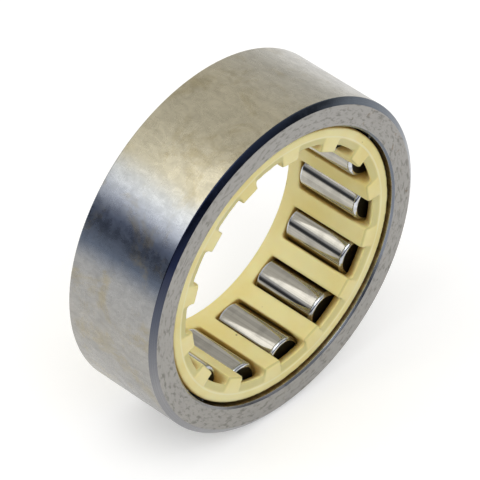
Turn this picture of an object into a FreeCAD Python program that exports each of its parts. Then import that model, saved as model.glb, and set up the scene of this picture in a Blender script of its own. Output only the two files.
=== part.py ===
import FreeCAD, Part
import os
import Sketcher

# Cylindrical roller bearing without an inner ring, in millimetres.
# It stands on its rim: the axis lies along Y, the front, where the cage ends in
# tabs, faces -Y, and the origin is on the axis at mid width.
# Each piece is drawn about its own Z axis, front up, and laid over by its Placement.

os.makedirs("parts", exist_ok=True)
doc = FreeCAD.newDocument("roller_bearing")
sizes = doc.addObject("Spreadsheet::Sheet", "Sizes")

# Driving dimensions: each one can be changed by itself
DRIVING = (
    ("outer_diameter", 72.0),
    ("ring_width", 23.0),
    ("ring_wall", 3.98),
    ("rib_height", 2.02),
    ("rib_width", 3.97),
    ("outer_chamfer_radial", 1.3),
    ("outer_chamfer_axial", 0.9),
    ("outer_edge_round", 0.25),
    ("rib_chamfer", 0.4),
    ("relief_width", 0.7),
    ("relief_depth", 0.25),
    ("roller_count", 14),
    ("roller_end_round", 0.7),
    ("race_gap", 0.02),
    ("rib_end_gap", 0.03),
    ("bar_neck", 3.55),
    ("pocket_side_gap", 0.15),
    ("pocket_end_gap", 0.15),
    ("cage_rib_gap", 0.5),
    ("cage_track_gap", 0.5),
    ("cage_front_inset", 0.9),
    ("cage_rear_inset", 0.45),
    ("tab_height", 1.4),
    ("tab_width", 4.2),
    ("tab_bevel", 0.3),
    ("front_rim_flare", 1.7),
    ("front_recess_width", 2.0),
    ("front_recess_depth", 0.3),
    ("cage_bore_round", 0.4),
    ("cage_edge_round", 0.3),
    ("rest_turn", 7.8),
)
for row, (alias, number) in enumerate(DRIVING, start=1):
    sizes.set("A%d" % row, alias)
    sizes.set("B%d" % row, str(number))
    sizes.setAlias("B%d" % row, alias)
doc.recompute()

# Sizes that follow from the driving ones, as expressions on the sheet
OUTER_RADIUS = "(Sizes.outer_diameter / 2)"
HALF_WIDTH = "(Sizes.ring_width / 2)"
RACE_RADIUS = "(%s - Sizes.ring_wall)" % OUTER_RADIUS
RIB_RADIUS = "(%s - Sizes.rib_height)" % RACE_RADIUS
GROOVE_HALF = "(%s - Sizes.rib_width)" % HALF_WIDTH
RELIEF_START = "(%s - Sizes.relief_width)" % GROOVE_HALF
RELIEF_RADIUS = "(%s + Sizes.relief_depth)" % RACE_RADIUS

# The rollers lie evenly against the raceway, and the bars between them are at their
# thinnest where the rollers come closest, which settles the rollers' diameter
ROLLER_STEP = "(360 deg / Sizes.roller_count)"
FIRST_BAR = "(Sizes.rest_turn * 1 deg)"
FIRST_ROLLER = "(%s + %s / 2)" % (FIRST_BAR, ROLLER_STEP)
HALF_STEP_SINE = "sin(%s / 2)" % ROLLER_STEP
HALF_STEP_COSINE = "cos(%s / 2)" % ROLLER_STEP
ROLLING_RADIUS = "(%s - Sizes.race_gap)" % RACE_RADIUS
BAR_SPACE = "(Sizes.bar_neck + 2 * Sizes.pocket_side_gap)"
ROLLER_RADIUS = "((%s * %s - %s / 2) / (1 + %s))" % (
    ROLLING_RADIUS, HALF_STEP_SINE, BAR_SPACE, HALF_STEP_SINE)
PITCH_RADIUS = "(%s - %s)" % (ROLLING_RADIUS, ROLLER_RADIUS)
TRACK_RADIUS = "(%s - %s)" % (PITCH_RADIUS, ROLLER_RADIUS)
ROLLER_HALF = "(%s - Sizes.rib_end_gap)" % GROOVE_HALF

POCKET_RADIUS = "(%s + Sizes.pocket_side_gap)" % ROLLER_RADIUS
POCKET_HALF = "(%s + Sizes.pocket_end_gap)" % ROLLER_HALF
CAGE_BORE = "(%s + Sizes.cage_track_gap)" % TRACK_RADIUS
CAGE_RADIUS = "(%s - Sizes.cage_rib_gap)" % RIB_RADIUS
CAGE_FRONT = "(%s - Sizes.cage_front_inset)" % HALF_WIDTH
CAGE_REAR = "(%s - Sizes.cage_rear_inset)" % HALF_WIDTH
FRONT_BORE = "(%s + Sizes.tab_height)" % CAGE_BORE
FLARE_RADIUS = "(%s + Sizes.front_rim_flare)" % FRONT_BORE
RECESS_RADIUS = "(%s + Sizes.front_recess_width)" % FRONT_BORE
RECESS_FACE = "(%s - Sizes.front_recess_depth)" % CAGE_FRONT
TAB_ROOT = "((%s + %s) / 2)" % (FLARE_RADIUS, CAGE_RADIUS)


UP = FreeCAD.Vector(0, 0, 1)
FRONT_FORWARD = FreeCAD.Rotation(FreeCAD.Vector(1, 0, 0), 90)


def value(expression):
    """Number that an expression on the sheet gives now."""
    return float(sizes.evalExpression(expression))


def make_body(label):
    body = doc.addObject("PartDesign::Body", label)
    body.Label = label
    body.Placement = FreeCAD.Placement(FreeCAD.Vector(0, 0, 0), FRONT_FORWARD)
    return body


def origin_feature(body, role):
    return next(f for f in body.Origin.OriginFeatures if f.Role == role)


def new_sketch(body, name, plane):
    sketch = body.newObject("Sketcher::SketchObject", name)
    sketch.AttachmentSupport = [(origin_feature(body, plane), "")]
    sketch.MapMode = "FlatFace"
    return sketch


def bind(sketch, constraint, expression):
    """Add a dimension to a sketch and tie it to the sheet."""
    index = sketch.addConstraint(constraint)
    sketch.setExpression("Constraints[%d]" % index, expression)


def outline(body, name, plane, corners):
    """Closed outline of straight edges whose corners are pairs of expressions."""
    sketch = new_sketch(body, name, plane)
    points = [FreeCAD.Vector(value(x), value(y), 0) for x, y in corners]
    count = len(points)
    for k in range(count):
        sketch.addGeometry(Part.LineSegment(points[k], points[(k + 1) % count]), False)
    for k in range(count):
        sketch.addConstraint(Sketcher.Constraint("Coincident", k, 2, (k + 1) % count, 1))
    for k, (x, y) in enumerate(corners):
        bind(sketch, Sketcher.Constraint("DistanceX", -1, 1, k, 1, points[k].x), x)
        bind(sketch, Sketcher.Constraint("DistanceY", -1, 1, k, 1, points[k].y), y)
    return sketch


def revolve(body, name, sketch):
    turned = body.newObject("PartDesign::Revolution", name)
    turned.Profile = sketch
    turned.ReferenceAxis = (sketch, ["V_Axis"])
    turned.Angle = 360
    doc.recompute()
    return turned


def round_edges(body, name, base, radius, chosen):
    """Round the edges of a feature that a test on each edge picks."""
    names = ["Edge%d" % (k + 1) for k, edge in enumerate(base.Shape.Edges) if chosen(edge)]
    fillet = body.newObject("PartDesign::Fillet", name)
    fillet.Base = (base, names)
    fillet.setExpression("Radius", radius)
    doc.recompute()
    return fillet


def circle_at(radius, height):
    """Test for a full circle about the axis, of this radius and at this height."""
    def chosen(edge):
        curve = edge.Curve
        if not isinstance(curve, Part.Circle):
            return False
        same_radius = abs(curve.Radius - radius) < 1e-4
        return same_radius and abs(curve.Center.z - height) < 1e-4
    return chosen


def any_of(*tests):
    return lambda edge: any(test(edge) for test in tests)


def face_angle(sketch, axis, expression):
    """Turn a sketch about the piece's axis, which is this axis of the sketch."""
    angle = value(expression)
    turned = FreeCAD.Rotation(axis, angle)
    sketch.AttachmentOffset = FreeCAD.Placement(FreeCAD.Vector(0, 0, 0), turned)
    sketch.setExpression("AttachmentOffset.Rotation.Angle", expression)


def pattern(body, name, *features):
    """Repeat features once for every roller."""
    turned = body.newObject("PartDesign::PolarPattern", name)
    turned.Originals = list(features)
    turned.Axis = (origin_feature(body, "Z_Axis"), [""])
    turned.Angle = 360
    turned.setExpression("Occurrences", "Sizes.roller_count")
    body.Tip = turned
    doc.recompute()
    return turned


# Outer ring: one steel ring whose two ribs hold the rollers endwise
def make_outer_ring():
    body = make_body("outer_ring")
    half_section = [
        (OUTER_RADIUS, "%s - Sizes.outer_chamfer_axial" % HALF_WIDTH),
        ("%s - Sizes.outer_chamfer_radial" % OUTER_RADIUS, HALF_WIDTH),
        ("%s + Sizes.rib_chamfer" % RIB_RADIUS, HALF_WIDTH),
        (RIB_RADIUS, "%s - Sizes.rib_chamfer" % HALF_WIDTH),
        (RIB_RADIUS, GROOVE_HALF),
        (RELIEF_RADIUS, GROOVE_HALF),
        (RELIEF_RADIUS, RELIEF_START),
        (RACE_RADIUS, RELIEF_START),
    ]
    mirrored = [(x, "-(%s)" % y) for x, y in reversed(half_section)]
    sketch = outline(body, "ring_section", "XZ_Plane", half_section + mirrored)
    ring = revolve(body, "ring_turned", sketch)
    radius = value(OUTER_RADIUS)
    shoulder = radius - value("Sizes.outer_chamfer_radial")
    face = value(HALF_WIDTH)
    edge_height = face - value("Sizes.outer_chamfer_axial")
    tests = []
    for side in (1, -1):
        tests.append(circle_at(radius, side * edge_height))
        tests.append(circle_at(shoulder, side * face))
    round_edges(body, "ring_edges", ring, "Sizes.outer_edge_round", any_of(*tests))
    return body


# Cage: one moulding of a deep rear rim, a bar between every two rollers, and a
# shallow front rim, sunk a little inside its outer land, past which the bars end in tabs
def make_cage():
    body = make_body("cage")
    corners = [
        (CAGE_BORE, "-%s" % CAGE_REAR),
        (CAGE_RADIUS, "-%s" % CAGE_REAR),
        (CAGE_RADIUS, CAGE_FRONT),
        (RECESS_RADIUS, CAGE_FRONT),
        (RECESS_RADIUS, RECESS_FACE),
        (FRONT_BORE, RECESS_FACE),
        (FLARE_RADIUS, POCKET_HALF),
        (CAGE_BORE, POCKET_HALF),
    ]
    sketch = outline(body, "cage_section", "XZ_Plane", corners)
    blank = revolve(body, "cage_turned", sketch)

    outside = value(CAGE_RADIUS)
    rear = -value(CAGE_REAR)
    bore_edge = circle_at(value(CAGE_BORE), rear)
    round_edges(body, "cage_bore_edge", blank, "Sizes.cage_bore_round", bore_edge)
    rims = any_of(
        circle_at(outside, value(CAGE_FRONT)),
        circle_at(outside, rear),
        circle_at(value(FRONT_BORE), value(RECESS_FACE)),
    )
    round_edges(body, "cage_rim_edges", body.Tip, "Sizes.cage_edge_round", rims)

    side = outline(body, "tab_side", "XZ_Plane", [
        (CAGE_BORE, POCKET_HALF),
        (TAB_ROOT, POCKET_HALF),
        (TAB_ROOT, "%s - Sizes.cage_edge_round" % CAGE_FRONT),
        ("%s + Sizes.cage_edge_round" % RECESS_RADIUS, CAGE_FRONT),
        ("%s + Sizes.tab_bevel" % CAGE_BORE, CAGE_FRONT),
        (CAGE_BORE, "%s - Sizes.tab_bevel" % CAGE_FRONT),
    ])
    face_angle(side, FreeCAD.Vector(0, 1, 0), FIRST_BAR)
    tab = body.newObject("PartDesign::Pad", "tab")
    tab.Profile = side
    tab.SideType = "Symmetric"
    tab.setExpression("Length", "Sizes.tab_width")
    doc.recompute()
    pattern(body, "tabs", tab)

    # Each pocket is round at the roller and narrows inward to a straight window, whose
    # sides leave the bars as wide at the bore as their tabs
    ring_of_tabs = body.Tip.Shape.Volume
    hole = new_sketch(body, "pocket_round", "XY_Plane")
    hole.addGeometry(Part.Circle(FreeCAD.Vector(value(PITCH_RADIUS), 0, 0), UP, value(POCKET_RADIUS)), False)
    hole.addConstraint(Sketcher.Constraint("PointOnObject", 0, 3, -1))
    bind(hole, Sketcher.Constraint("DistanceX", -1, 1, 0, 3, value(PITCH_RADIUS)), PITCH_RADIUS)
    bind(hole, Sketcher.Constraint("Radius", 0, value(POCKET_RADIUS)), POCKET_RADIUS)
    face_angle(hole, UP, FIRST_ROLLER)
    window_sides = []
    for along_bar in (
            "%s * %s" % (CAGE_BORE, HALF_STEP_COSINE), "%s * %s" % (PITCH_RADIUS, HALF_STEP_COSINE)):
        x = "(%s * %s + Sizes.tab_width / 2 * %s)" % (along_bar, HALF_STEP_COSINE, HALF_STEP_SINE)
        y = "(%s * %s - Sizes.tab_width / 2 * %s)" % (along_bar, HALF_STEP_SINE, HALF_STEP_COSINE)
        window_sides.append((x, y))
    mirrored = [(x, "-%s" % y) for x, y in reversed(window_sides)]
    window = outline(body, "window", "XY_Plane", window_sides + mirrored)
    face_angle(window, UP, FIRST_ROLLER)
    cuts = []
    for name, profile in (("pocket_cut", hole), ("window_cut", window)):
        cut = body.newObject("PartDesign::Pocket", name)
        cut.Profile = profile
        cut.SideType = "Symmetric"
        cut.setExpression("Length", "2 * %s" % POCKET_HALF)
        doc.recompute()
        cuts.append(cut)
    pattern(body, "pockets", *cuts)
    if body.Tip.Shape.Volume >= ring_of_tabs:
        raise RuntimeError("the roller pockets cut nothing")
    return body


# Roller: a plain steel cylinder with rounded ends, one body each
def make_roller(number):
    body = make_body("roller_%02d" % number)
    sketch = outline(body, "roller_section_%02d" % number, "XZ_Plane", [
        ("0", "-%s" % ROLLER_HALF),
        (ROLLER_RADIUS, "-%s" % ROLLER_HALF),
        (ROLLER_RADIUS, ROLLER_HALF),
        ("0", ROLLER_HALF),
    ])
    barrel = revolve(body, "roller_turned_%02d" % number, sketch)
    radius = value(ROLLER_RADIUS)
    half = value(ROLLER_HALF)
    ends = any_of(circle_at(radius, half), circle_at(radius, -half))
    round_edges(body, "roller_ends_%02d" % number, barrel, "Sizes.roller_end_round", ends)
    angle = "(%s + %s * (%d - 0.5))" % (FIRST_BAR, ROLLER_STEP, number)
    body.setExpression("Placement.Base.x", "%s * cos(%s)" % (PITCH_RADIUS, angle))
    body.setExpression("Placement.Base.z", "%s * sin(%s)" % (PITCH_RADIUS, angle))
    return body


pieces = [make_outer_ring(), make_cage()]
for index in range(int(value("Sizes.roller_count"))):
    pieces.append(make_roller(index + 1))
doc.recompute()

for item in doc.Objects:
    if "Invalid" in item.State or "Error" in item.State:
        raise RuntimeError("%s failed: %s" % (item.Label, item.State))
for piece in pieces:
    if piece.Shape.isNull() or not piece.Shape.isValid() or len(piece.Shape.Solids) != 1:
        raise RuntimeError("%s is not one valid solid" % piece.Label)
for piece in pieces:
    piece.Shape.exportStep("parts/%s.step" % piece.Label)
print("rollers: diameter %.3f, length %.3f, pitch radius %.3f, track radius %.3f" % (
    2 * value(ROLLER_RADIUS), 2 * value(ROLLER_HALF), value(PITCH_RADIUS), value(TRACK_RADIUS)))
print("cage: bore %.3f, outside %.3f, front bore %.3f, from %.3f to %.3f along the axis" % (
    value(CAGE_BORE), value(CAGE_RADIUS), value(FRONT_BORE), -value(CAGE_FRONT), value(CAGE_REAR)))
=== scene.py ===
import math

import bmesh
import bpy
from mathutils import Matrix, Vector


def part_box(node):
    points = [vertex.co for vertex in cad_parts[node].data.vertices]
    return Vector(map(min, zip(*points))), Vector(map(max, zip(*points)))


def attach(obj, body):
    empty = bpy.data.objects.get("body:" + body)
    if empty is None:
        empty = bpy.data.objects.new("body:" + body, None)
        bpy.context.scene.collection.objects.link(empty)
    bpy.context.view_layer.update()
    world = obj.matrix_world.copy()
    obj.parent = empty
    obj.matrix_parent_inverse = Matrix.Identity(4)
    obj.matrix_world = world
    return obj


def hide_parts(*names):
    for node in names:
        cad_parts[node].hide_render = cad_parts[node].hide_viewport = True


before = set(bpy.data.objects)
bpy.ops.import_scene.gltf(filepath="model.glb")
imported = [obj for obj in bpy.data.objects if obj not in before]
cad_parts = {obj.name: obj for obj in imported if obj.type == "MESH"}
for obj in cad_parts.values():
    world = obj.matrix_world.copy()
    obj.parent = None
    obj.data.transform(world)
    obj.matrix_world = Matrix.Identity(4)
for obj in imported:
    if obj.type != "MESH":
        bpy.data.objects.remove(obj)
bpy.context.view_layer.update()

MM = 0.001

# Sizes that the frame gives: the bearing's axis lies along Y, front towards -Y
ring_low, ring_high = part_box("outer_ring")
RING_RADIUS = ring_high.z
RING_HALF = ring_high.y
ROLLERS = sorted(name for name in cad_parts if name.startswith("roller_"))
roller_low, roller_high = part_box(ROLLERS[0])
ROLLER_RADIUS = (roller_high.x - roller_low.x) / 2
ROLLER_HALF = roller_high.y


# Small helpers for meshes
def rounded(corners, steps=6):
    """Closed section of (radius, y, round, slot) corners; slot is the edge after the corner."""
    points = []
    count = len(corners)
    for k, (r, y, size, slot) in enumerate(corners):
        here = Vector((r, y))
        before = Vector(corners[k - 1][:2]) - here
        after = Vector(corners[(k + 1) % count][:2]) - here
        if size == 0:
            points.append((r, y, slot))
            continue
        half = before.angle(after) / 2
        run = size / math.tan(half)
        start = here + before.normalized() * run
        end = here + after.normalized() * run
        middle = (before.normalized() + after.normalized()).normalized()
        centre = here + middle * (size / math.sin(half))
        one, two = start - centre, end - centre
        sweep = one.angle(two)
        for step in range(steps + 1):
            share = step / steps
            blend = one * math.sin((1 - share) * sweep) + two * math.sin(share * sweep)
            place = centre + blend / math.sin(sweep)
            points.append((place.x, place.y, slot))
    return points


def lathe(name, section, segments, centre, slots, closed=True):
    """Turn a section about the line through centre along Y; an open one gets flat end caps."""
    mesh = bpy.data.meshes.new(name)
    build = bmesh.new()
    rings = []
    for k in range(segments):
        angle = 2 * math.pi * k / segments
        c, s = math.cos(angle), math.sin(angle)
        rings.append([
            build.verts.new((centre.x + r * c, centre.y + y, centre.z + r * s))
            for r, y, _ in section])
    count = len(section)
    spans = count if closed else count - 1
    for k in range(segments):
        one, two = rings[k], rings[(k + 1) % segments]
        for j in range(spans):
            n = (j + 1) % count
            face = build.faces.new((one[j], one[n], two[n], two[j]))
            face.material_index = section[j][2]
            face.smooth = True
    if not closed:
        for j in (0, count - 1):
            rim = [ring[j] for ring in rings]
            face = build.faces.new(rim if j == 0 else rim[::-1])
            face.material_index = section[j if j == 0 else j - 1][2]
    bmesh.ops.recalc_face_normals(build, faces=build.faces)
    build.to_mesh(mesh)
    build.free()
    piece = bpy.data.objects.new(name, mesh)
    bpy.context.scene.collection.objects.link(piece)
    for material in slots:
        mesh.materials.append(material)
    return piece


# Small helpers for materials
class Net:
    """A material's node tree with short calls for the nodes used here."""

    def __init__(self, name):
        self.material = bpy.data.materials.new(name)
        self.material.use_nodes = True
        self.tree = self.material.node_tree
        self.shader = self.tree.nodes["Principled BSDF"]
        self.place = self.add("ShaderNodeTexCoord").outputs["Object"]

    def add(self, kind, inputs=None, **settings):
        node = self.tree.nodes.new(kind)
        for key, setting in settings.items():
            setattr(node, key, setting)
        for key, source in (inputs or {}).items():
            self.feed(node.inputs[key], source)
        return node

    def feed(self, socket, source):
        if isinstance(source, bpy.types.NodeSocket):
            self.tree.links.new(source, socket)
        else:
            socket.default_value = source

    def set(self, **sources):
        for key, source in sources.items():
            self.feed(self.shader.inputs[key.replace("_", " ")], source)

    def math(self, operation, a, b=0.0):
        node = self.add("ShaderNodeMath", operation=operation)
        self.feed(node.inputs[0], a)
        self.feed(node.inputs[1], b)
        return node.outputs[0]

    def ramp(self, source, low, high, start=0.0, end=1.0):
        node = self.add("ShaderNodeMapRange", {
            "Value": source, "From Min": low, "From Max": high,
            "To Min": start, "To Max": end}, interpolation_type="SMOOTHSTEP")
        return node.outputs["Result"]

    def mix(self, share, a, b, mode="MIX"):
        node = self.add("ShaderNodeMix", data_type="RGBA", blend_type=mode)
        self.feed(node.inputs[0], share)
        self.feed(node.inputs[6], a)
        self.feed(node.inputs[7], b)
        return node.outputs[2]

    def noise(self, scale, detail=4.0, rough=0.5, stretch=(1, 1, 1), distort=0.0, place=None):
        where = self.add("ShaderNodeVectorMath", operation="MULTIPLY")
        self.feed(where.inputs[0], place or self.place)
        where.inputs[1].default_value = stretch
        node = self.add("ShaderNodeTexNoise", {
            "Vector": where.outputs[0], "Scale": scale, "Detail": detail,
            "Roughness": rough, "Distortion": distort})
        return node.outputs["Fac"]

    def parts(self):
        """The place's x, y and z; y runs along the bearing's axis."""
        node = self.add("ShaderNodeSeparateXYZ", {"Vector": self.place})
        return node.outputs[0], node.outputs[1], node.outputs[2]

    def radius(self):
        """Distance from the bearing's axis."""
        x, _, z = self.parts()
        square = self.math("ADD", self.math("MULTIPLY", x, x), self.math("MULTIPLY", z, z))
        return self.math("SQRT", square)

    def bump(self, height, strength, distance):
        node = self.add("ShaderNodeBump", {
            "Height": height, "Strength": strength, "Distance": distance})
        return node.outputs["Normal"]


def grinding(net, across, rough, depth):
    """Fine grinding lines and uneven oil, as roughness and bump; gives the lines back."""
    lines_place = net.add("ShaderNodeCombineXYZ", {"X": across}).outputs[0]
    lines = net.noise(9000, 3, 0.7, place=lines_place)
    broken = net.noise(400, 5, 0.65)
    net.set(Metallic=1.0)
    net.set(Roughness=net.ramp(broken, 0.3, 0.7, rough - 0.04, rough + 0.06))
    height = net.math("ADD", lines, net.math("MULTIPLY", broken, 0.8))
    net.set(Normal=net.bump(height, depth, 0.02 * MM))
    return lines


def shaded(net, tint, lines, low, high):
    """Darken a colour by a grey that follows the lines."""
    fine = net.ramp(lines, 0.3, 0.7, low, high)
    grey = net.add("ShaderNodeCombineColor", {"Red": fine, "Green": fine, "Blue": fine})
    return net.mix(1.0, tint, grey.outputs[0], mode="MULTIPLY")


def around(net):
    """Share of the full turn from the bottom, past -X, the top and +X, back to the bottom."""
    x, _, z = net.parts()
    turn = net.math("ARCTAN2", x, z)
    return net.math("ADD", net.math("MULTIPLY", turn, 0.5 / math.pi), 0.5)


def fill_ramp(node, stops):
    """Give a colour ramp node its (position, colour) stops."""
    while len(node.color_ramp.elements) < len(stops):
        node.color_ramp.elements.new(0.5)
    for element, (position, colour) in zip(node.color_ramp.elements, stops):
        element.position = position
        element.color = colour + (1,)
    return node.outputs["Color"]


def rim_finish_and_painted_light(name):
    """Outer cylinder: ground steel under an uneven film of oil, with painted light and reflection
    in stripes along the axis, set by the angle around the ring.
    """
    net = Net(name)
    _, y, _ = net.parts()
    lines = grinding(net, y, 0.27, 0.14)
    waves = net.math("MULTIPLY", net.math("SUBTRACT", net.noise(90, 4, 0.6), 0.5), 0.012)
    # Painted light and reflection by angle around the ring: pale tan at the top, darker grey at the
    # bottom, a dark slate band and a silver band on the upper -X side.
    painted_light_bands = net.add("ShaderNodeValToRGB", {"Fac": net.math("ADD", around(net), waves)})
    tint = fill_ramp(painted_light_bands, [
        (0.0, (0.26, 0.26, 0.26)), (0.14, (0.27, 0.265, 0.25)), (0.25, (0.36, 0.35, 0.33)),
        (0.300, (0.33, 0.33, 0.33)), (0.320, (0.15, 0.18, 0.24)), (0.348, (0.17, 0.20, 0.28)),
        (0.364, (0.50, 0.53, 0.59)), (0.386, (0.50, 0.51, 0.50)), (0.404, (0.52, 0.48, 0.36)),
        (0.500, (0.58, 0.53, 0.40)), (0.560, (0.54, 0.52, 0.46)), (0.640, (0.46, 0.46, 0.46)),
        (1.0, (0.32, 0.32, 0.32))])
    blotch = net.ramp(net.noise(110, 7, 0.7, distort=0.5), 0.48, 0.66)
    tint = net.mix(net.math("MULTIPLY", blotch, 0.45), tint, (0.34, 0.28, 0.14, 1))
    wrinkle = net.noise(700, 5, 0.7, stretch=(1, 0.5, 1), distort=0.8)
    tint = shaded(net, tint, wrinkle, 0.86, 1.07)
    net.set(Base_Color=shaded(net, tint, lines, 0.88, 1.06))
    return net.material


def chamfer_finish_and_painted_reflection(name):
    """Bevel: painted dark reflection, nearly black towards the upper left, grey elsewhere."""
    net = Net(name)
    _, y, _ = net.parts()
    lines = grinding(net, y, 0.22, 0.06)
    # Painted reflection by angle around the ring: nearly black from the -X side over the top, grey
    # elsewhere.
    tint = fill_ramp(net.add("ShaderNodeValToRGB", {"Fac": around(net)}), [
        (0.0, (0.24, 0.24, 0.25)), (0.21, (0.26, 0.26, 0.27)), (0.285, (0.09, 0.10, 0.13)),
        (0.34, (0.015, 0.02, 0.05)), (0.48, (0.03, 0.04, 0.07)), (0.58, (0.12, 0.14, 0.17)),
        (0.80, (0.20, 0.22, 0.26)), (1.0, (0.15, 0.16, 0.18))])
    net.set(Base_Color=shaded(net, tint, lines, 0.85, 1.1))
    return net.material


SMEARS_PER_METRE, SMEARS_PER_TURN = 1500.0, 120.0


def face_finish(name):
    """Side face: ground in rings, with short smears of oil along them and rusty spots."""
    net = Net(name)
    radius = net.radius()
    lines = grinding(net, radius, 0.36, 0.12)
    spread = net.add("ShaderNodeCombineXYZ", {
        "X": net.math("MULTIPLY", radius, SMEARS_PER_METRE),
        "Y": net.math("MULTIPLY", around(net), SMEARS_PER_TURN)})
    smears = net.noise(1.0, 4, 0.6, place=spread.outputs[0], distort=0.4)
    smear = net.ramp(smears, 0.48, 0.68)
    tint = net.mix(net.math("MULTIPLY", smear, 0.7), (0.34, 0.33, 0.315, 1), (0.15, 0.145, 0.13, 1))
    spots = net.ramp(net.noise(650, 4, 0.6, distort=0.6), 0.60, 0.74)
    x, _, _ = net.parts()
    right_side = net.ramp(x, 0.0, 30 * MM, 0.1, 0.6)
    tint = net.mix(net.math("MULTIPLY", spots, right_side), tint, (0.16, 0.10, 0.05, 1))
    net.set(Base_Color=shaded(net, tint, lines, 0.90, 1.07))
    return net.material


# Nearly black oil brown, the colour of the painted shade on steel close to its neighbours.
OIL_SHADE_ON_STEEL = (0.045, 0.032, 0.012, 1)


def polished_steel(name, colour, rough, oil=0.0):
    """Smooth steel; oil is how far it turns to a nearly black oil brown close to its neighbours,
    which is painted shade.
    """
    net = Net(name)
    _, y, _ = net.parts()
    lines = net.noise(6000, 3, 0.6, place=net.add("ShaderNodeCombineXYZ", {"X": y}).outputs[0])
    smudge = net.noise(260, 4, 0.6)
    tint = net.mix(net.ramp(smudge, 0.45, 0.7), colour, tuple(0.82 * c for c in colour[:3]) + (1,))
    tint = shaded(net, tint, net.noise(900, 3, 0.7, stretch=(1, 0.01, 1)), 0.72, 1.12)
    if oil:
        # Painted shade, coloured as oil: the colour turns brown where ambient occlusion finds
        # neighbours close.
        shade = net.add("ShaderNodeAmbientOcclusion", {"Distance": 2.4 * MM}, samples=8)
        painted_shade_near = net.ramp(shade.outputs["AO"], 0.22, 0.78, oil, 0.0)
        tint = net.mix(painted_shade_near, tint, OIL_SHADE_ON_STEEL)
    net.set(Base_Color=tint)
    net.set(Metallic=1.0)
    net.set(Roughness=net.ramp(smudge, 0.3, 0.7, rough - 0.03, rough + 0.05))
    net.set(Normal=net.bump(lines, 0.05, 0.01 * MM))
    return net.material


# The cage's front rim is sunk inside a lip; its tabs reach the lip's plane, CAGE_FRONT
LIP_RADIUS = 27.4 * MM
CAGE_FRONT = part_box("cage")[0].y
NYLON_PALE, NYLON_DEEP = (0.92, 0.83, 0.42, 1), (0.86, 0.73, 0.29, 1)
# Orange brown of oil for the painted shade in the cage's corners; the specks are dirt.
OIL_SHADE_ON_NYLON, SPECK = (0.50, 0.27, 0.03, 1), (0.10, 0.07, 0.02, 1)
# Painted shade for the band sunk inside the lip, painted highlight for the lip's edge.
SUNK_SHADE, LIP_HIGHLIGHT = (0.60, 0.55, 0.24, 1), (0.95, 0.91, 0.64, 1)


def moulded_nylon(name):
    """Natural nylon, yellowed: brown oil and painted shade stand in its corners, dark specks lie on
    it, the band sunk inside the lip has painted shade and the lip's edge a painted highlight.
    """
    net = Net(name)
    cloud = net.noise(75, 5, 0.55)
    grain = net.noise(1500, 3, 0.6)
    base = net.mix(net.ramp(cloud, 0.35, 0.7), NYLON_PALE, NYLON_DEEP)

    # Painted shade in oil's orange brown, in corners and close to the rollers, where ambient
    # occlusion finds neighbours.
    shade = net.add("ShaderNodeAmbientOcclusion", {"Distance": 3.0 * MM}, samples=8)
    patchy = net.math("MULTIPLY", net.math("SUBTRACT", net.noise(170, 4, 0.6), 0.5), 0.5)
    corner_shade = net.ramp(net.math("ADD", shade.outputs["AO"], patchy), 0.24, 0.88, 1.0, 0.0)
    base = net.mix(net.math("MULTIPLY", corner_shade, 0.85), base, OIL_SHADE_ON_NYLON)

    radius = net.radius()
    _, y, _ = net.parts()
    # Painted shade on the band sunk inside the lip, just behind the cage's front.
    behind_tabs = net.ramp(y, CAGE_FRONT + 0.04 * MM, CAGE_FRONT + 0.24 * MM)
    before_bars = net.ramp(y, CAGE_FRONT + 0.6 * MM, CAGE_FRONT + 0.4 * MM)
    sunk = net.math("MULTIPLY", behind_tabs, before_bars)
    inside_lip = net.ramp(radius, LIP_RADIUS + 0.4 * MM, LIP_RADIUS - 0.1 * MM)
    sunk = net.math("MULTIPLY", sunk, inside_lip)
    base = net.mix(net.math("MULTIPLY", sunk, 0.7), base, SUNK_SHADE)

    # Painted highlight along the lip's edge at the cage's front.
    from_lip = net.math("ABSOLUTE", net.math("SUBTRACT", radius, LIP_RADIUS + 0.15 * MM))
    lip = net.ramp(from_lip, 0.25 * MM, 0.1 * MM)
    at_front = net.ramp(y, CAGE_FRONT + 0.3 * MM, CAGE_FRONT + 0.1 * MM)
    base = net.mix(net.math("MULTIPLY", net.math("MULTIPLY", lip, at_front), 0.5), base, LIP_HIGHLIGHT)

    specks = net.ramp(net.noise(900, 2, 0.5), 0.76, 0.80)
    base = net.mix(net.math("MULTIPLY", specks, 0.8), base, SPECK)
    net.set(Base_Color=base)
    net.set(Roughness=net.ramp(cloud, 0.3, 0.7, 0.38, 0.52))
    net.set(Subsurface_Weight=0.3)
    net.shader.inputs["Subsurface Radius"].default_value = (1.0, 0.7, 0.25)
    net.shader.inputs["Subsurface Scale"].default_value = 1.5 * MM
    net.set(Normal=net.bump(net.math("ADD", grain, cloud), 0.10, 0.04 * MM))
    return net.material


# Outer ring, turned from its section with small rounds on every edge but the relief groove's
CHAMFER_RADIAL, CHAMFER_AXIAL = 1.3 * MM, 0.9 * MM
RIB_BORE, RIB_CHAMFER = 30.0 * MM, 0.4 * MM
RACE, RELIEF, RELIEF_WIDTH = 32.02 * MM, 32.27 * MM, 0.7 * MM
GROOVE_HALF = 7.53 * MM
EDGE_ROUND, SHARP_ROUND = 0.25 * MM, 0.06 * MM
RIM, CHAMFER, FACE, BORE = range(4)

rim_steel = rim_finish_and_painted_light("rim_steel")
chamfer_steel = chamfer_finish_and_painted_reflection("chamfer_steel")
face_steel = face_finish("face_steel")
bore_steel = polished_steel("bore_steel", (0.50, 0.50, 0.50, 1), 0.22)


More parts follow.
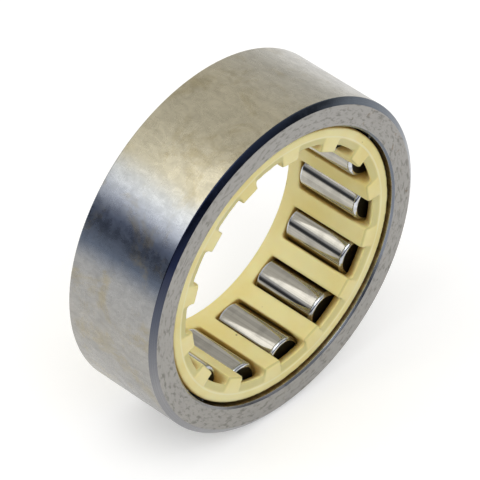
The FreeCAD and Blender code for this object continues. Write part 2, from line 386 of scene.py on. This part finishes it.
def ring_half(sign):
    """Front (sign -1) or rear (sign 1) half of the ring's section, from rim to raceway."""
    return [
        (RING_RADIUS, sign * (RING_HALF - CHAMFER_AXIAL), EDGE_ROUND, CHAMFER),
        (RING_RADIUS - CHAMFER_RADIAL, sign * RING_HALF, EDGE_ROUND, FACE),
        (RIB_BORE + RIB_CHAMFER, sign * RING_HALF, SHARP_ROUND, CHAMFER),
        (RIB_BORE, sign * (RING_HALF - RIB_CHAMFER), SHARP_ROUND, BORE),
        (RIB_BORE, sign * GROOVE_HALF, SHARP_ROUND, BORE),
        (RELIEF, sign * GROOVE_HALF, 0, BORE),
        (RELIEF, sign * (GROOVE_HALF - RELIEF_WIDTH), 0, BORE),
        (RACE, sign * (GROOVE_HALF - RELIEF_WIDTH), 0, BORE),
    ]


front = ring_half(-1)
rear = ring_half(1)
back = [rear[k][:3] + (rear[k - 1][3] if k else RIM,) for k in range(len(rear) - 1, -1, -1)]
ring = lathe(
    "outer_ring_turned", rounded(front + back), 360, Vector((0, 0, 0)),
    [rim_steel, chamfer_steel, face_steel, bore_steel])
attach(ring, "outer_ring")
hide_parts("outer_ring")

# Rollers, turned one by one about their own axes
ROLLER_ROUND, ROUND_STEPS = 0.7 * MM, 8
END_MIDDLE = 0.4 * MM
BARREL, END, EDGE = range(3)
# The rollers' barrels get painted shade, coloured as oil, close to the cage and rings.
roller_steel = polished_steel("roller_steel", (0.47, 0.45, 0.40, 1), 0.07, oil=0.94)
# The roller's end is a painted-shade copy of the steel, nearly black.
roller_end_shaded = polished_steel("roller_end_painted_shade", (0.020, 0.022, 0.026, 1), 0.35)
# The roller's rounded edge is a painted-highlight copy of the steel, paler and bluer.
roller_edge_highlight = polished_steel("roller_edge_painted_highlight", (0.60, 0.62, 0.66, 1), 0.12)


def roller_section():
    """Section of a roller from its front end's middle to its rear end's."""
    section = [(END_MIDDLE, -ROLLER_HALF, END)]
    for step in range(ROUND_STEPS + 1):
        angle = math.pi / 2 * step / ROUND_STEPS
        r = ROLLER_RADIUS - ROLLER_ROUND * (1 - math.sin(angle))
        y = -ROLLER_HALF + ROLLER_ROUND * (1 - math.cos(angle))
        section.append((r, y, EDGE if step < ROUND_STEPS else BARREL))
    mirror = [(r, -y, EDGE) for r, y, _ in reversed(section)]
    mirror[-2] = mirror[-2][:2] + (END,)
    return section + mirror


for name in ROLLERS:
    low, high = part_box(name)
    roller = lathe(
        name + "_turned", roller_section(), 96, (low + high) / 2,
        [roller_steel, roller_end_shaded, roller_edge_highlight], closed=False)
    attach(roller, name)
    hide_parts(name)

# Cage: the moulding's own shape with the soft edges that come out of a mould
MOULD_STEP = 0.35 * MM
blank = bpy.data.objects.new("cage_blank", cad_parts["cage"].data.copy())
bpy.context.scene.collection.objects.link(blank)
remesh = blank.modifiers.new("even_grid", "REMESH")
remesh.mode = "VOXEL"
remesh.voxel_size = MOULD_STEP
soften = blank.modifiers.new("soft_edges", "SMOOTH")
soften.factor = 0.5
soften.iterations = 5
solved = blank.evaluated_get(bpy.context.evaluated_depsgraph_get())
soft_mesh = bpy.data.meshes.new_from_object(solved)
bpy.data.objects.remove(blank)
soft_mesh.materials.clear()
soft_mesh.materials.append(moulded_nylon("cage_nylon"))
soft_mesh.shade_smooth()
cage = bpy.data.objects.new("cage_moulding", soft_mesh)
bpy.context.scene.collection.objects.link(cage)
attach(cage, "cage")
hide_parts("cage")

# Floor, in line with the lowest point of the ring; it glows a little for the eye alone
FLOOR_GLOW = 0.35
bpy.ops.mesh.primitive_plane_add(size=12, location=(0, 0, ring_low.z))
floor = bpy.context.object
floor.name = "floor"
net = Net("floor_white")
net.set(Base_Color=(0.80, 0.80, 0.80, 1), Roughness=0.9)
path = net.add("ShaderNodeLightPath").outputs
seen = net.math("MAXIMUM", path["Is Camera Ray"], path["Is Glossy Ray"])
seen = net.math("MAXIMUM", seen, path["Is Transmission Ray"])
net.set(Emission_Color=(1, 1, 1, 1), Emission_Strength=net.math("MULTIPLY", seen, FLOOR_GLOW))
floor.data.materials.append(net.material)

# World: pale dome over a dark band above the horizon, as in a small studio, with the
# side behind the rear face left pale all the way down
PALE_SIDE, PALE_FROM, PALE_TO = (0.73, 0.68, 0.0), 0.1, 0.6
PALE_WALL = (0.72, 0.71, 0.68, 1)
WORLD_STRENGTH = 0.9
world = bpy.data.worlds.new("studio")
bpy.context.scene.world = world
world.use_nodes = True
tree = world.node_tree
direction = tree.nodes.new("ShaderNodeTexCoord")
split = tree.nodes.new("ShaderNodeSeparateXYZ")
tree.links.new(direction.outputs["Generated"], split.inputs[0])
dome = tree.nodes.new("ShaderNodeValToRGB")
fill_ramp(dome, [
    (0.0, (0.70, 0.70, 0.70)), (0.045, (0.70, 0.70, 0.70)), (0.09, (0.05, 0.055, 0.065)),
    (0.28, (0.07, 0.075, 0.09)), (0.42, (0.80, 0.82, 0.88)), (0.62, (0.78, 0.77, 0.73)),
    (1.0, (0.84, 0.82, 0.78))])
tree.links.new(split.outputs["Z"], dome.inputs["Fac"])
behind = tree.nodes.new("ShaderNodeVectorMath")
behind.operation = "DOT_PRODUCT"
tree.links.new(direction.outputs["Generated"], behind.inputs[0])
behind.inputs[1].default_value = PALE_SIDE
lit = tree.nodes.new("ShaderNodeMapRange")
lit.interpolation_type = "SMOOTHSTEP"
tree.links.new(behind.outputs["Value"], lit.inputs["Value"])
lit.inputs["From Min"].default_value = PALE_FROM
lit.inputs["From Max"].default_value = PALE_TO
backdrop = tree.nodes.new("ShaderNodeMix")
backdrop.data_type = "RGBA"
tree.links.new(lit.outputs["Result"], backdrop.inputs[0])
tree.links.new(dome.outputs["Color"], backdrop.inputs[6])
backdrop.inputs[7].default_value = PALE_WALL
tree.links.new(backdrop.outputs[2], tree.nodes["Background"].inputs["Color"])
tree.nodes["Background"].inputs["Strength"].default_value = WORLD_STRENGTH


def softbox(name, azimuth, elevation, distance, size, power):
    """White lamp that faces the origin: degrees, metres, metres and watts."""
    lamp = bpy.data.lights.new(name, "AREA")
    lamp.shape = "RECTANGLE"
    lamp.size, lamp.size_y = size
    lamp.energy = power
    holder = bpy.data.objects.new(name, lamp)
    bpy.context.scene.collection.objects.link(holder)
    a, e = math.radians(azimuth), math.radians(elevation)
    towards = Vector((math.cos(a) * math.cos(e), math.sin(a) * math.cos(e), math.sin(e)))
    holder.location = towards * distance
    holder.rotation_euler = towards.to_track_quat("Z", "Y").to_euler()


softbox("key_light", 160, 55, 0.7, (0.6, 0.6), 1.2)
softbox("fill_light", -110, 50, 0.8, (0.5, 0.5), 1.6)

# Camera: long lens far away, as the nearly parallel edges in the photograph say
CAMERA_AZIMUTH = math.radians(-135.85)
CAMERA_ELEVATION = math.radians(40.82)
CAMERA_DISTANCE = 1.0085
AIM_RIGHT, AIM_UP = -0.467 * MM, 0.204 * MM
LENS = 395.6
camera_data = bpy.data.cameras.new("camera")
camera_data.lens = LENS
camera_data.sensor_width = 36
camera_data.clip_end = 50
camera = bpy.data.objects.new("camera", camera_data)
bpy.context.scene.collection.objects.link(camera)
outward = Vector((
    math.cos(CAMERA_AZIMUTH) * math.cos(CAMERA_ELEVATION),
    math.sin(CAMERA_AZIMUTH) * math.cos(CAMERA_ELEVATION),
    math.sin(CAMERA_ELEVATION)))
camera.rotation_euler = outward.to_track_quat("Z", "Y").to_euler()
right = Vector((-math.sin(CAMERA_AZIMUTH), math.cos(CAMERA_AZIMUTH), 0))
camera.location = outward * CAMERA_DISTANCE + right * AIM_RIGHT + outward.cross(right) * AIM_UP
bpy.context.scene.camera = camera
bpy.context.scene.view_settings.view_transform = "Standard"
